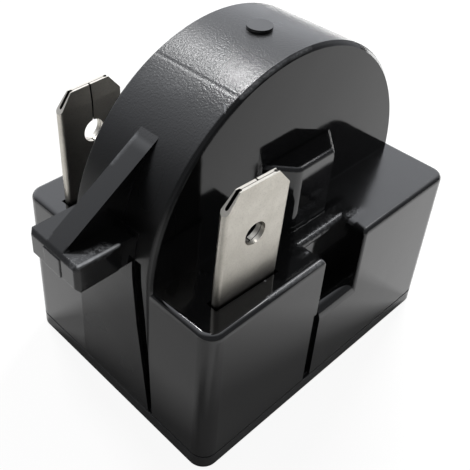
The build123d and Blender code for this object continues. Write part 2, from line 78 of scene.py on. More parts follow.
class Graph:
    """Builder of the shader nodes of one material or of the world."""

    sample_rays: int = 4

    def __init__(self, owner: bpy.types.Material | bpy.types.World) -> None:
        """Start with an empty node tree.

        Args:
            owner: the material or world that the nodes belong to.
        """
        self.owner = owner
        owner.use_nodes = True
        self.tree = owner.node_tree
        self.tree.nodes.clear()

    @classmethod
    def of_material(cls, name: str) -> "Graph":
        """Start a new material."""
        return cls(bpy.data.materials.new(name))

    def node(self, kind: str, **settings: object) -> bpy.types.Node:
        """Add a node and set its properties.

        Args:
            kind: part of the node's type name after "ShaderNode".
            **settings: properties of the node.

        Returns:
            The new node.
        """
        made = self.tree.nodes.new("ShaderNode" + kind)
        for key, value in settings.items():
            setattr(made, key, value)
        return made

    def link(self, source: Socket, target: Socket) -> None:
        """Join two sockets."""
        self.tree.links.new(source, target)

    def feed(self, value: object, target: Socket) -> None:
        """Set a socket to a value, or link it where the value is a socket itself.

        Args:
            value: a number, colour, vector or socket.
            target: the socket to set or link.
        """
        if isinstance(value, Socket):
            self.link(value, target)
        else:
            target.default_value = value

    def math(self, operation: str, *operands: Value, clamp: bool = False) -> Socket:
        """Calculate with numbers or sockets.

        Args:
            operation: the node's operation.
            *operands: up to three numbers or sockets.
            clamp: keep the result between 0 and 1.

        Returns:
            The result's socket.
        """
        made = self.node("Math", operation=operation, use_clamp=clamp)
        for value, target in zip(operands, made.inputs):
            self.feed(value, target)
        return made.outputs[0]

    def times(self, *factors: Value) -> Socket:
        """Multiply masks and numbers.

        Args:
            *factors: two or more factors, at least one of them a socket.

        Returns:
            The product's socket.
        """
        product = factors[0]
        for factor in factors[1:]:
            product = self.math("MULTIPLY", product, factor)
        return product

    def add_share(self, base: Value, mask: Socket, amount: Value) -> Socket:
        """Add an amount where a mask is 1, and a share of it where the mask is less."""
        return self.math("MULTIPLY_ADD", mask, amount, base)

    def ramp(self, value: Socket, low: float, high: float,
             to_low: float = 0.0, to_high: float = 1.0) -> Socket:
        """Map a range smoothly to another.

        Args:
            value: the number to map.
            low: start of its range.
            high: end of its range.
            to_low: result at the start.
            to_high: result at the end.

        Returns:
            The result's socket.
        """
        made = self.node("MapRange", interpolation_type="SMOOTHSTEP")
        self.link(value, made.inputs["Value"])
        made.inputs["From Min"].default_value = low
        made.inputs["From Max"].default_value = high
        made.inputs["To Min"].default_value = to_low
        made.inputs["To Max"].default_value = to_high
        return made.outputs["Result"]

    def above(self, value: Socket, limit: float, soft: float) -> Socket:
        """0 up to a limit, rising to 1 over a soft margin."""
        return self.ramp(value, limit, limit + soft)

    def below(self, value: Socket, limit: float, soft: float) -> Socket:
        """1 up to a limit, falling to 0 over a soft margin."""
        return self.ramp(value, limit, limit + soft, 1.0, 0.0)

    def inside(self, value: Socket, span: Span, soft: float) -> Socket:
        """1 where a value lies in a span, falling to 0 over a soft margin on each side."""
        low, high = span
        return self.times(self.ramp(value, low - soft, low), self.below(value, high, soft))

    def opposite(self, mask: Socket) -> Socket:
        """1 where a mask is 0, and 0 where it is 1."""
        return self.math("SUBTRACT", 1.0, mask)

    def place(self) -> Socket:
        """Make the shading point's place on the relay, in millimetres.

        Returns:
            The place's socket.
        """
        scale = self.node("VectorMath", operation="SCALE")
        self.link(self.node("TexCoord").outputs["Object"], scale.inputs[0])
        scale.inputs["Scale"].default_value = 1 / MM
        return scale.outputs["Vector"]

    def axes(self, place: Socket) -> tuple[Socket, ...]:
        """Split a place.

        Args:
            place: the place's socket.

        Returns:
            The sockets of its x, y and z.
        """
        split = self.node("SeparateXYZ")
        self.link(place, split.inputs[0])
        return tuple(split.outputs)

    def stretched(self, place: Socket, scale: Point) -> Socket:
        """Scale a place along each axis.

        Args:
            place: the place's socket.
            scale: factors for x, y and z.

        Returns:
            The scaled place's socket.
        """
        made = self.node("VectorMath", operation="MULTIPLY")
        self.link(place, made.inputs[0])
        made.inputs[1].default_value = scale
        return made.outputs["Vector"]

    def noise(self, place: Socket, grain: Grain) -> Socket:
        """Make smooth noise.

        Args:
            place: the place's socket, in millimetres.
            grain: the noise's fineness.

        Returns:
            The socket of the noise's value.
        """
        made = self.node("TexNoise")
        spot = place if grain.stretch is None else self.stretched(place, grain.stretch)
        self.link(spot, made.inputs["Vector"])
        made.inputs["Scale"].default_value = grain.per_mm
        made.inputs["Detail"].default_value = grain.layers
        made.inputs["Roughness"].default_value = grain.weight
        return made.outputs["Fac"]

    def blend(self, share: Value, first: Colour | Socket, second: Colour | Socket) -> Socket:
        """Mix two colours.

        Args:
            share: share of the second colour.
            first: colour or socket.
            second: colour or socket.

        Returns:
            The mixed colour's socket.
        """
        made = self.node("Mix", data_type="RGBA")
        self.feed(share, made.inputs["Factor"])
        for value, target in ((first, made.inputs["A"]), (second, made.inputs["B"])):
            self.feed((*value, 1.0) if isinstance(value, tuple) else value, target)
        return made.outputs["Result"]

    def bump(self, height: Socket, relief: Relief, normal: Socket | None = None) -> Socket:
        """Raise the surface by a height.

        Args:
            height: height from 0 to 1.
            relief: how far it raises the surface.
            normal: normal to start from.

        Returns:
            The new normal's socket.
        """
        made = self.node("Bump")
        made.inputs["Strength"].default_value = relief.strength
        made.inputs["Distance"].default_value = relief.height_mm * MM
        self.link(height, made.inputs["Height"])
        if normal is not None:
            self.link(normal, made.inputs["Normal"])
        return made.outputs["Normal"]

    def softened(self, radius_mm: float, share: Value = 1.0) -> Socket:
        """Round off the look of sharp edges.

        Args:
            radius_mm: radius of the rounding.
            share: where it applies, from 0 to 1.

        Returns:
            The new normal's socket.
        """
        made = self.node("Bevel", samples=self.sample_rays)
        made.inputs["Radius"].default_value = radius_mm * MM
        mixed = self.node("Mix", data_type="VECTOR")
        self.feed(share, mixed.inputs["Factor"])
        own, rounded = (socket for socket in mixed.inputs if socket.enabled and socket.type == "VECTOR")
        self.link(self.node("NewGeometry").outputs["Normal"], own)
        self.link(made.outputs["Normal"], rounded)
        return next(socket for socket in mixed.outputs if socket.enabled)

    def openness(self, reach_mm: float) -> Socket:
        """Measure how open a spot is: 1 on open faces, less in holes and folds.

        Args:
            reach_mm: how far away a face still closes the spot in.

        Returns:
            The socket of the share.
        """
        made = self.node("AmbientOcclusion", samples=self.sample_rays)
        made.inputs["Distance"].default_value = reach_mm * MM
        return made.outputs["AO"]

    def near_line(self, place: Socket, start: Point, end: Point, radius: float) -> Socket:
        """Make a mask that is 1 on a straight line and falls smoothly to 0 at a radius.

        Args:
            place: the place's socket, in millimetres.
            start: the line's start.
            end: the line's end.
            radius: where the mask has fallen to 0.

        Returns:
            The mask's socket.
        """
        along = Vector(end) - Vector(start)
        offset = self.node("VectorMath", operation="SUBTRACT")
        self.link(place, offset.inputs[0])
        offset.inputs[1].default_value = start
        dot = self.node("VectorMath", operation="DOT_PRODUCT")
        self.link(offset.outputs["Vector"], dot.inputs[0])
        dot.inputs[1].default_value = along / along.length_squared
        share = self.math("ADD", dot.outputs["Value"], 0.0, clamp=True)
        foot = self.node("VectorMath", operation="SCALE")
        foot.inputs[0].default_value = along
        self.link(share, foot.inputs["Scale"])
        gap = self.node("VectorMath", operation="DISTANCE")
        self.link(offset.outputs["Vector"], gap.inputs[0])
        self.link(foot.outputs["Vector"], gap.inputs[1])
        return self.below(gap.outputs["Value"], 0.0, radius)

    def close(self, shader: bpy.types.Node) -> bpy.types.Material | bpy.types.World:
        """Connect the last shader to the output.

        Args:
            shader: the shader's node.

        Returns:
            The finished material or world.
        """
        kind = "OutputWorld" if isinstance(self.owner, bpy.types.World) else "OutputMaterial"
        self.link(shader.outputs[0], self.node(kind).inputs["Surface"])
        return self.owner


@dataclass(frozen=True)
class HousingForm:
    """Where the housing's forms lie, in millimetres.

    The ear's end, the front face, the slot's back wall and the drum's height follow the housing's box in the
    frame. The other values are given to match the part's solids.
    """

    box: tuple[Point, Point] = field(default_factory=lambda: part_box("housing"))
    pip_height: float = 0.28
    drum_radius: float = 15.1
    drum_x: float = -0.3
    drum_front: float = -5.1
    drum_rear: float = 4.32
    block_top: float = 16.1
    boss_top: float = 22.35
    notch_left: float = -2.3
    notch_depth: float = 2.6
    ear_pad: float = 0.08
    ear_root: float = -15.5
    ear_front: float = -3.3
    ear_top: float = 20.7
    gusset_rear: float = 0.52
    gusset_x: float = -11.0
    gusset_top: float = 26.7

    @property
    def ear_end(self) -> float:
        """The ear's outer end, behind its pad."""
        return self.box[0][0] / MM + self.ear_pad

    @property
    def block_front(self) -> float:
        """The front blocks' front face."""
        return self.box[0][1] / MM

    @property
    def notch_back(self) -> float:
        """The back wall of the slot between the front blocks."""
        return self.block_front + self.notch_depth

    @property
    def drum_height(self) -> float:
        """Height of the drum's axis."""
        return self.box[1][2] / MM - self.pip_height - self.drum_radius

    def on_drum(self, degrees: float, y: float, inward: float = 0.0) -> Point:
        """Find a place on the drum's curved face.

        Args:
            degrees: angle from the top, negative towards the ear.
            y: place to the back.
            inward: distance below the curved face.

        Returns:
            Its x, y and z.
        """
        angle = math.radians(degrees)
        reach = self.drum_radius - inward
        return self.drum_x + reach * math.sin(angle), y, self.drum_height + reach * math.cos(angle)

    def on_gusset(self, share: float) -> Point:
        """Find a place on the rear edge of the gusset's sloping face.

        Args:
            share: 0 at the drum, 1 at the ear's end.

        Returns:
            Its x, y and z.
        """
        x = self.gusset_x + (self.ear_end - self.gusset_x) * share
        z = self.gusset_top + (self.ear_top - self.gusset_top) * share
        return x, self.gusset_rear, z

    def beside_slot(self, right: float, back: float) -> Point:
        """A place on the block tops, from the back left corner of the slot between the front blocks."""
        return self.notch_left + right, self.notch_back + back, self.block_top


@dataclass(frozen=True)
class HighlightAndScuff:
    """A pale mark along a straight line, in millimetres: a painted highlight, on some marks also a rubbed,
    whitened scuff.
    """

    start: Point
    end: Point
    radius: float
    strength: float
    broken: float = 0.8


@dataclass(frozen=True)
class HighlightAndWearMarks:
    """The painted highlights on the housing, some also rubbed scuffs, each on the face or edge that it lies
    on.
    """

    form: HousingForm
    drum_mark_degrees: Span = (-32.4, -30.7)
    drum_mark_y: Span = (2.6, -0.4)
    scratch_degrees: tuple[float, ...] = (-29.57, -31.65, -30.58)
    scratch_back: tuple[float, ...] = (0.75, 0.26, 0.0)
    scratch_inward: tuple[float, ...] = (0.0, 0.0, 0.16)
    rim_degrees: tuple[float, ...] = (-25.1, -17.76, -7.61, 3.42)
    rim_back: float = 0.15
    rim_radii: tuple[float, ...] = (0.34, 0.32, 0.30)
    rim_strengths: tuple[float, ...] = (1.0, 0.8, 0.5)
    gusset_shares: Span = (0.095, 0.328)

    def on_ear(self) -> tuple[HighlightAndScuff, ...]:
        """Paint highlights on the ear's front edge.

        Returns:
            A painted highlight line along the edge and a paler painted glint behind it.
        """
        end, front, top = self.form.ear_end, self.form.ear_front, self.form.ear_top
        line = (end + 0.35, front + 0.15, top), (end + 3.75, front + 0.05, top)
        patch = (end + 0.35, front + 0.60, top), (end + 2.85, front + 0.40, top)
        return (
            HighlightAndScuff(*line, radius=0.27, strength=1.0, broken=0.25),
            HighlightAndScuff(*patch, radius=0.85, strength=0.40),
        )

    def on_block(self) -> tuple[HighlightAndScuff, ...]:
        """Paint highlights on the front left block.

        Returns:
            A painted highlight along its front edge and a painted glint in front of the spade tab.
        """
        left, front, height = self.form.notch_left, self.form.block_front, self.form.block_top - 0.1
        edge = (left - 6.55, front + 0.5, height), (left - 0.3, front + 0.3, height)
        glint = self.form.beside_slot(-5.48, -0.76), self.form.beside_slot(-5.45, -0.74)
        return (
            HighlightAndScuff(*edge, radius=0.28, strength=0.9, broken=0.5),
            HighlightAndScuff(*glint, radius=0.16, strength=1.0, broken=0.0),
        )

    def behind_slot(self) -> tuple[HighlightAndScuff, ...]:
        """Paint highlights on the block tops between the boss and the slot.

        Returns:
            Three painted highlight streaks along the flow marks, from left to right.
        """
        bend = self.form.beside_slot(2.0, 0.2)
        right = self.form.beside_slot(3.8, 0.0), self.form.beside_slot(6.5, -0.2)
        return (
            HighlightAndScuff(self.form.beside_slot(-0.2, 0.1), bend, radius=0.75, strength=0.26),
            HighlightAndScuff(bend, self.form.beside_slot(4.5, 0.5), radius=0.70, strength=0.30),
            HighlightAndScuff(*right, radius=0.40, strength=0.30),
        )

    def on_drum(self) -> tuple[HighlightAndScuff, ...]:
        """Paint a reflection and a scratch's glint on the drum.

        Returns:
            A painted pale reflection patch on its left, and a bent scratch over its front rim, painted pale
            as its glint.
        """
        front = self.form.drum_front
        patch = (self.form.on_drum(*spot) for spot in zip(self.drum_mark_degrees, self.drum_mark_y))
        bends = zip(self.scratch_degrees, self.scratch_back, self.scratch_inward)
        first, corner, last = (self.form.on_drum(angle, front + back, deep) for angle, back, deep in bends)
        return (
            HighlightAndScuff(*patch, radius=1.9, strength=0.14),
            HighlightAndScuff(first, corner, radius=0.10, strength=1.0, broken=0.0),
            HighlightAndScuff(corner, last, radius=0.10, strength=1.0, broken=0.0),
        )

    def on_rim(self) -> tuple[HighlightAndScuff, ...]:
        """Paint a highlight along the drum's front rim.

        Returns:
            A painted highlight line in stretches that grows weaker to the right.
        """
        y = self.form.drum_front + self.rim_back
        spots = [self.form.on_drum(angle, y) for angle in self.rim_degrees]
        stretches = zip(spots, spots[1:], self.rim_radii, self.rim_strengths)
        return tuple(HighlightAndScuff(*stretch, broken=0.5) for stretch in stretches)

    def on_gusset(self) -> tuple[HighlightAndScuff, ...]:
        """A painted highlight along the upper stretch of the gusset's rear edge."""
        start, end = (self.form.on_gusset(share) for share in self.gusset_shares)
        return (HighlightAndScuff(start, end, radius=0.42, strength=0.45, broken=0.3),)

    def every(self) -> tuple[HighlightAndScuff, ...]:
        """Every mark."""
        fronts = self.on_ear() + self.on_block() + self.behind_slot()
        return fronts + self.on_drum() + self.on_rim() + self.on_gusset()


@dataclass(frozen=True)
class Spot:
    """Sockets that say where on the housing the shading point lies, in millimetres."""

    place: Socket
    x: Socket
    y: Socket
    z: Socket
    radius: Socket
    satin: Socket


@dataclass(frozen=True)
class PolishedMoulding:
    """The housing's black glass-filled plastic: mirror-like mould faces and a spark-eroded drum."""

    form: HousingForm = field(default_factory=HousingForm)
    ior: float = 1.75
    base: Colour = (0.0035, 0.0035, 0.0038)
    dust: Colour = (0.012, 0.012, 0.013)
    cloud: Grain = Grain(0.35, 4.0, 0.6)
    cloud_share: float = 0.25
    specks: Grain = Grain(3.1, 2.0, 0.7)
    speck_levels: Span = (0.70, 0.80)
    speck_share: float = 0.35

    satin_depth: Span = (-0.25, 0.12)
    satin_depth_soft: float = 0.12
    satin_margin: float = 0.35
    satin_soft: float = 0.3

    face_film: float = 0.27
    face_reach: Span = (-0.1, 0.1)
    face_soft: float = 0.1
    bracket_film: float = 0.22
    bracket_gap: float = 0.2
    satin_film: float = 0.08
    side_film: float = 0.16
    side_x: Span = (-14.0, -9.0)
    film_soft: float = 0.3

    polished: float = 0.07
    haze: Grain = Grain(0.9, 5.0, 0.65, stretch=(0.4, 0.4, 3.0))
    haze_levels: Span = (0.45, 0.8)
    haze_dull: float = 0.05
    ear_dull: float = 0.05
    ear_soft: float = 0.5
    top_dull: float = 0.12
    top_x: Span = (1.0, 6.0)
    top_layer: Span = (-0.3, 0.2)
    satin: float = 0.30
    patches: Grain = Grain(0.22, 1.0, 0.4)
    patch_depth: float = 0.16
    worn_x: Span = (-6.8, -4.0)
    worn_x_soft: float = 2.5
    worn_y: Span = (-5.3, -4.0)
    worn_y_soft: float = 4.0
    worn_gloss: float = 0.06

    # Pale colour of the painted highlights and glints, some of them also rubbed scuffs.
    highlight_and_rub_tint: Colour = (0.40, 0.41, 0.43)
    highlight_and_rub_dull: float = 0.30
    highlight_and_rub_grain: Grain = Grain(3.4, 3.0, 0.75)
    highlight_and_rub_levels: Span = (0.42, 0.62)

    edge_mm: float = 0.22
    edge_reach: float = 0.6
    edge_soft: float = 0.2
    rim_from: float = 13.8
    wave: Grain = Grain(0.22, 2.0, 0.4)
    wave_relief: Relief = Relief(0.5, 0.05)
    flow: Grain = Grain(1.1, 4.0, 0.6, stretch=(1.6, 0.55, 1.0))
    flow_relief: Relief = Relief(1.0, 0.10)
    flow_x: Span = (-3.0, 4.0)
    flow_x_soft: float = 1.5
    flow_y: Span = (-9.4, -7.6)
    flow_y_soft: float = 0.8
    flow_layer: Span = (-0.5, 0.2)
    layer_soft: float = 0.1
    tool_line_x: float = -6.9
    tool_line_half: float = 0.24
    tool_line_relief: Relief = Relief(0.5, 0.035)
    spark: Grain = Grain(6.0, 2.0, 0.6)
    spark_relief: Relief = Relief(1.0, 0.03)
    smooth_left: Span = (-12.5, -7.5)
    smooth_right: Span = (-2.5, 3.0)
    smoothed: float = 0.35

    def build(self) -> bpy.types.Material:
        """Make the material.

        Returns:
            The housing's material.
        """
        graph = Graph.of_material(Slot.MOULDING.value)
        spot = self.find(graph)
        highlight_and_rub = self.highlight_and_rub(graph, spot)
        shader = graph.node("BsdfPrincipled")
        shader.inputs["IOR"].default_value = self.ior
        graph.link(self.film(graph, spot), shader.inputs["Specular IOR Level"])
        # The base colour carries pale painted highlights and glints, some of them also rubbed scuffs.
        graph.link(graph.blend(highlight_and_rub, self.tint(graph, spot), self.highlight_and_rub_tint), shader.inputs["Base Color"])
        dulled = graph.add_share(self.roughness(graph, spot), highlight_and_rub, self.highlight_and_rub_dull)
        graph.link(dulled, shader.inputs["Roughness"])
        graph.link(self.normal(graph, spot), shader.inputs["Normal"])
        return graph.close(shader)

    def find(self, graph: Graph) -> Spot:
        """Find where the shading point lies.

        Args:
            graph: the material's nodes.

        Returns:
            Its place, its distance from the drum's axis (or from the drum's middle plane below the axis)
            and the share of the spark-eroded finish there, which is 1 on the drum's curved face.
        """
        place = graph.place()
        x, y, z = graph.axes(place)
        rise = graph.math("MAXIMUM", graph.math("SUBTRACT", z, self.form.drum_height), 0.0)
        aside = graph.math("SUBTRACT", x, self.form.drum_x)
        radius = graph.math("SQRT", graph.math("ADD", graph.times(aside, aside), graph.times(rise, rise)))
        curved = graph.inside(radius, around(self.form.drum_radius, self.satin_depth), self.satin_depth_soft)
        width = self.form.drum_front + self.satin_margin, self.form.drum_rear - self.satin_margin
        satin = graph.times(curved, graph.inside(y, width, self.satin_soft))
        return Spot(place, x, y, z, radius, satin)

    def tint(self, graph: Graph, spot: Spot) -> Socket:
        """Mix the plastic's black with faint clouds and specks of dust.

        Args:
            graph: the material's nodes.
            spot: where the shading point lies.

        Returns:
            The colour's socket.
        """
        cloud = graph.noise(spot.place, self.cloud)
        specks = graph.ramp(graph.noise(spot.place, self.specks), *self.speck_levels)
        tint = graph.blend(graph.times(cloud, self.cloud_share), self.base, self.dust)
        return graph.blend(graph.times(specks, self.speck_share), tint, self.dust)

    def film(self, graph: Graph, spot: Spot) -> Socket:
        """Lower the mirroring on the drum's front face, the ear and gusset, and the drum's curved face.

        Args:
            graph: the material's nodes.
            spot: where the shading point lies.

        Returns:
            The socket of the specular level.
        """
        face = graph.times(
            graph.inside(spot.y, around(self.form.drum_front, self.face_reach), self.face_soft),
            graph.above(spot.z, self.form.block_top, self.film_soft))
        bracket = graph.times(
            graph.above(spot.radius, self.form.drum_radius + self.bracket_gap, self.film_soft),
            graph.above(spot.z, self.form.ear_top - self.edge_reach, 2 * self.edge_soft))
        level = graph.add_share(PLAIN_SPECULAR, face, -self.face_film)
        level = graph.add_share(level, bracket, -self.bracket_film)
        side = graph.math("ADD", self.satin_film, graph.ramp(spot.x, *self.side_x, self.side_film, 0.0))
        return graph.math("SUBTRACT", level, graph.times(side, spot.satin))

    def roughness(self, graph: Graph, spot: Spot) -> Socket:
        """Set the polish of the flat faces and the satin of the drum.

        Args:
            graph: the material's nodes.
            spot: where the shading point lies.

        Returns:
            The roughness's socket.
        """
        haze = graph.ramp(graph.noise(spot.place, self.haze), *self.haze_levels)
        ear = graph.below(spot.x, self.form.ear_root - self.edge_reach, self.ear_soft)
        top = graph.times(graph.inside(spot.z, around(self.form.block_top, self.top_layer), self.layer_soft),
                          graph.ramp(spot.x, *self.top_x))
        flat = graph.add_share(self.polished, haze, self.haze_dull)
        flat = graph.add_share(flat, ear, self.ear_dull)
        flat = graph.add_share(flat, top, self.top_dull)
        worn = graph.times(graph.inside(spot.x, self.worn_x, self.worn_x_soft),
                           graph.inside(spot.y, self.worn_y, self.worn_y_soft))
        patches = graph.noise(spot.place, self.patches)
        drum = graph.add_share(self.satin - self.patch_depth / 2, patches, self.patch_depth)
        drum = graph.add_share(drum, worn, -self.worn_gloss)
        return graph.math("ADD", graph.times(flat, graph.opposite(spot.satin)), graph.times(drum, spot.satin))

    def normal(self, graph: Graph, spot: Spot) -> Socket:
        """Round the edges and lay waves, flow streaks, the tool line and spark grain over the surface.

        Args:
            graph: the material's nodes.
            spot: where the shading point lies.

        Returns:
            The normal's socket.
        """
        normal = graph.softened(self.edge_mm, self.edges(graph, spot))
        for height, relief in (
            (graph.noise(spot.place, self.wave), self.wave_relief),
            (self.streaks(graph, spot), self.flow_relief),
            (self.tool_line(graph, spot), self.tool_line_relief),
            (self.sparks(graph, spot), self.spark_relief),
        ):
            normal = graph.bump(height, relief, normal)
        return normal

    def edges(self, graph: Graph, spot: Spot) -> Socket:
        """Mask the edges that are rounded: the drum's rims on the left, the boss's rim and the ear's end.

        Args:
            graph: the material's nodes.
            spot: where the shading point lies.

        Returns:
            The mask's socket.
        """
        reach, soft = self.edge_reach, self.edge_soft
        middle = self.form.drum_front + reach, self.form.drum_rear - reach
        rims = graph.times(
            graph.above(spot.radius, self.rim_from, soft),
            graph.above(spot.z, self.form.block_top + reach, 2 * soft),
            graph.above(spot.x, self.form.ear_root - soft, soft),
            graph.opposite(graph.inside(spot.y, middle, soft)),
            graph.below(spot.x, self.tool_line_x - 2 * soft, 4 * soft))
        boss = graph.times(graph.above(spot.z, self.form.boss_top - reach, soft / 2),
                           graph.below(spot.y, self.form.drum_front - 2 * soft, soft / 2))
        ear = graph.below(spot.x, self.form.ear_end + reach + soft / 2, soft)
        return graph.math("MAXIMUM", rims, graph.math("MAXIMUM", boss, ear))

    def streaks(self, graph: Graph, spot: Spot) -> Socket:
        """Shape the wavy flow streaks on the block tops between the boss and the slot.

        Args:
            graph: the material's nodes.
            spot: where the shading point lies.

        Returns:
            The socket of their height, from 0 to 1.
        """
        near = graph.times(
            graph.inside(spot.x, self.flow_x, self.flow_x_soft),
            graph.inside(spot.y, self.flow_y, self.flow_y_soft),
            graph.inside(spot.z, around(self.form.block_top, self.flow_layer), self.layer_soft))
        return graph.times(graph.noise(spot.place, self.flow), near)

    def tool_line(self, graph: Graph, spot: Spot) -> Socket:
        """Sink the line that the mould leaves across the drum's curved face.

        Args:
            graph: the material's nodes.
            spot: where the shading point lies.

        Returns:
            The socket of its height, from -1 to 0.
        """
        aside = graph.math("ABSOLUTE", graph.math("SUBTRACT", spot.x, self.tool_line_x))
        return graph.times(graph.ramp(aside, 0.0, self.tool_line_half, -1.0, 0.0), spot.satin)

    def sparks(self, graph: Graph, spot: Spot) -> Socket:
        """Roughen the drum's curved face, less towards its sides.

        Args:
            graph: the material's nodes.
            spot: where the shading point lies.

        Returns:
            The socket of the grain's height, from 0 to 1.
        """
        kept = graph.times(graph.ramp(spot.x, *self.smooth_left, self.smoothed, 1.0),
                           graph.ramp(spot.x, *self.smooth_right, 1.0, self.smoothed))
        return graph.times(graph.noise(spot.place, self.spark), spot.satin, kept)

    def highlight_and_rub(self, graph: Graph, spot: Spot) -> Socket:
        """Paint the pale marks, broken up by grain: painted highlights and glints, some of them also rubbed
        scuffs.

        Args:
            graph: the material's nodes.
            spot: where the shading point lies.

        Returns:
            The socket of the share of pale painted colour.
        """
        grain = graph.ramp(graph.noise(spot.place, self.highlight_and_rub_grain), *self.highlight_and_rub_levels)
        total: Value = 0.0
        # Each line is a painted highlight, some also a rubbed scuff, blended in as a pale colour.
        for highlight_and_scuff in HighlightAndWearMarks(self.form).every():
            mark = graph.near_line(spot.place, highlight_and_scuff.start, highlight_and_scuff.end, highlight_and_scuff.radius)
            kept = graph.add_share(1.0 - highlight_and_scuff.broken, grain, highlight_and_scuff.broken)
            total = graph.math("MAXIMUM", graph.times(mark, graph.times(kept, highlight_and_scuff.strength)), total)
        return total


@dataclass(frozen=True)
class PlainMoulding:
    """The cover's black plastic, without a textured zone."""

    ior: float = 1.75
    base: Colour = (0.004, 0.004, 0.0043)
    worn: Colour = (0.014, 0.014, 0.015)
    cloud: Grain = Grain(0.5, 4.0, 0.6)
    worn_share: float = 0.4
    roughness: float = 0.11
    cloud_dull: float = 0.12
    edge_mm: float = 0.18
    ripple: Grain = Grain(2.4, 3.0, 0.6)
    ripple_relief: Relief = Relief(0.3, 0.01)

    def build(self) -> bpy.types.Material:
        """Make the material.

        Returns:
            The cover's material.
        """
        graph = Graph.of_material(Slot.COVER.value)
        place = graph.place()
        cloud = graph.noise(place, self.cloud)
        tint = graph.blend(graph.times(cloud, self.worn_share), self.base, self.worn)
        shader = graph.node("BsdfPrincipled")
        shader.inputs["IOR"].default_value = self.ior
        graph.link(tint, shader.inputs["Base Color"])
        graph.link(graph.add_share(self.roughness, cloud, self.cloud_dull), shader.inputs["Roughness"])
        ripple = graph.bump(graph.noise(place, self.ripple), self.ripple_relief, graph.softened(self.edge_mm))
        graph.link(ripple, shader.inputs["Normal"])
        return graph.close(shader)


@dataclass(frozen=True)
class SheetMetal:
    """Rolled sheet with fine lines up and down, cloudy plating, specks of grime and painted shade in its
    holes and folds.
    """

    slot: Slot
    bright: Colour
    dull: Colour
    roughness: float
    cloud: Grain = Grain(0.7, 5.0, 0.7)
    cloud_levels: Span = (0.25, 0.75)
    cloud_dull: float = 0.06
    lines: Grain = Grain(1.0, 3.0, 0.6, stretch=(14.0, 14.0, 0.9))
    line_dull: float = 0.08
    line_relief: Relief = Relief(0.35, 0.012)
    speckle: Grain = Grain(8.0, 2.0, 0.6)
    speckle_levels: Span = (0.45, 0.75)
    speckle_share: float = 0.16
    pores: Grain = Grain(9.0, 3.0, 0.6)
    pore_relief: Relief = Relief(0.35, 0.010)
    # Dark colour of the grime specks, also painted as shade into holes and folds.
    grime_and_shade: Colour = (0.10, 0.095, 0.085)
    painted_shade_reach_mm: float = 0.9
    painted_shade_levels: Span = (0.45, 0.85)

    def build(self) -> bpy.types.Material:
        """Make the material.

        Returns:
            The metal's material.
        """
        graph = Graph.of_material(self.slot.value)
        place = graph.place()
        cloud = graph.ramp(graph.noise(place, self.cloud), *self.cloud_levels)
        lines = graph.noise(place, self.lines)
        shader = graph.node("BsdfPrincipled")
        shader.inputs["Metallic"].default_value = 1.0
        graph.link(self.tint(graph, place, cloud), shader.inputs["Base Color"])
        rough = graph.add_share(self.roughness - self.cloud_dull / 2, cloud, self.cloud_dull)
        graph.link(graph.add_share(rough, lines, self.line_dull), shader.inputs["Roughness"])
        normal = graph.bump(lines, self.line_relief)
        normal = graph.bump(graph.noise(place, self.pores), self.pore_relief, normal)
        graph.link(normal, shader.inputs["Normal"])
        return graph.close(shader)

    def tint(self, graph: Graph, place: Socket, cloud: Socket) -> Socket:
        """Mix the plating's two tones, with specks of grime, and the same dark colour as painted shade in
        holes and folds.

        Args:
            graph: the material's nodes.
            place: the place's socket, in millimetres.
            cloud: share of the duller tone.

        Returns:
            The colour's socket.
        """
        speckle = graph.ramp(graph.noise(place, self.speckle), *self.speckle_levels)
        tint = graph.blend(cloud, self.bright, self.dull)
        tint = graph.blend(graph.times(speckle, self.speckle_share), tint, self.grime_and_shade)
        # Painted shade: the dark colour is laid into holes and folds where ambient occlusion finds them
        # closed in.
        painted_shade = graph.ramp(graph.openness(self.painted_shade_reach_mm), *self.painted_shade_levels, 1.0, 0.0)
        return graph.blend(painted_shade, tint, self.grime_and_shade)


@dataclass(frozen=True)
class FiredCeramic:
    """Grey ceramic with a silvered, slightly mottled face."""

    body: Colour = (0.30, 0.29, 0.28)
    silver: Colour = (0.55, 0.54, 0.52)
    cloud: Grain = Grain(1.2, 5.0, 0.6)
    roughness: float = 0.45
    cloud_dull: float = 0.2
    pores: Grain = Grain(6.0, 3.0, 0.6)
    pore_relief: Relief = Relief(0.4, 0.02)

    def build(self) -> bpy.types.Material:
        """Make the material.

        Returns:
            The pill's material.
        """
        graph = Graph.of_material(Slot.CERAMIC.value)
        place = graph.place()
        cloud = graph.noise(place, self.cloud)
        shader = graph.node("BsdfPrincipled")
        graph.link(graph.blend(cloud, self.body, self.silver), shader.inputs["Base Color"])
        graph.link(graph.add_share(self.roughness, cloud, self.cloud_dull), shader.inputs["Roughness"])
        graph.link(graph.bump(graph.noise(place, self.pores), self.pore_relief), shader.inputs["Normal"])
        return graph.close(shader)


@dataclass(frozen=True)
class MicaSheet:
    """Pale brown insulating sheet with thin flakes."""

    pale: Colour = (0.62, 0.54, 0.38)
    dark: Colour = (0.44, 0.36, 0.23)
    flakes: Grain = Grain(1.4, 5.0, 0.7, stretch=(1.0, 1.0, 0.35))
    flake_levels: Span = (0.35, 0.65)
    roughness: float = 0.3
    flake_dull: float = 0.2
    flake_relief: Relief = Relief(0.3, 0.01)

    def build(self) -> bpy.types.Material:
        """Make the material.

        Returns:
            The insulating sheets' material.
        """
        graph = Graph.of_material(Slot.MICA.value)
        flakes = graph.noise(graph.place(), self.flakes)
        tint = graph.blend(graph.ramp(flakes, *self.flake_levels), self.pale, self.dark)
        shader = graph.node("BsdfPrincipled")
        graph.link(tint, shader.inputs["Base Color"])
        graph.link(graph.add_share(self.roughness, flakes, self.flake_dull), shader.inputs["Roughness"])
        graph.link(graph.bump(flakes, self.flake_relief), shader.inputs["Normal"])
        return graph.close(shader)


